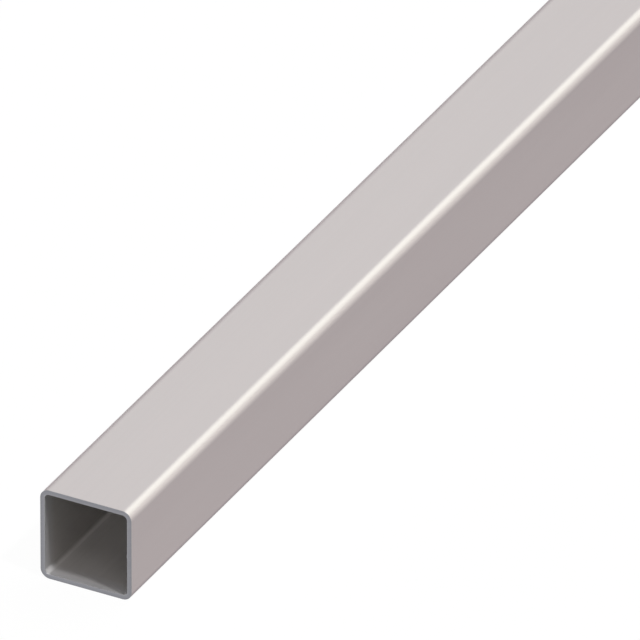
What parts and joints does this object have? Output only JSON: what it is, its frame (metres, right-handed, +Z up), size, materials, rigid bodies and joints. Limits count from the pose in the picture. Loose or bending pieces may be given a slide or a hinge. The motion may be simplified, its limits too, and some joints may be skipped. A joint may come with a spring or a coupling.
{
  "type": "square metal tube",
  "caption": "Straight length of square steel tube with rounded corners, hollow right through, with square sawn ends.",
  "frame": {"origin": "on the bottom face, under the middle of the tube", "axes": "+Y along the tube, towards its far end; +Z up through the top face; +X through the wall that has the weld bead inside"},
  "size_m": [0.04, 1, 0.04],
  "materials": {
    "steel": "smooth satin mill finish outside, darker inside, bare sawn metal on the ends"
  },
  "bodies": {
    "root": {"square_tube": "steel"}
  },
  "joints": []
}
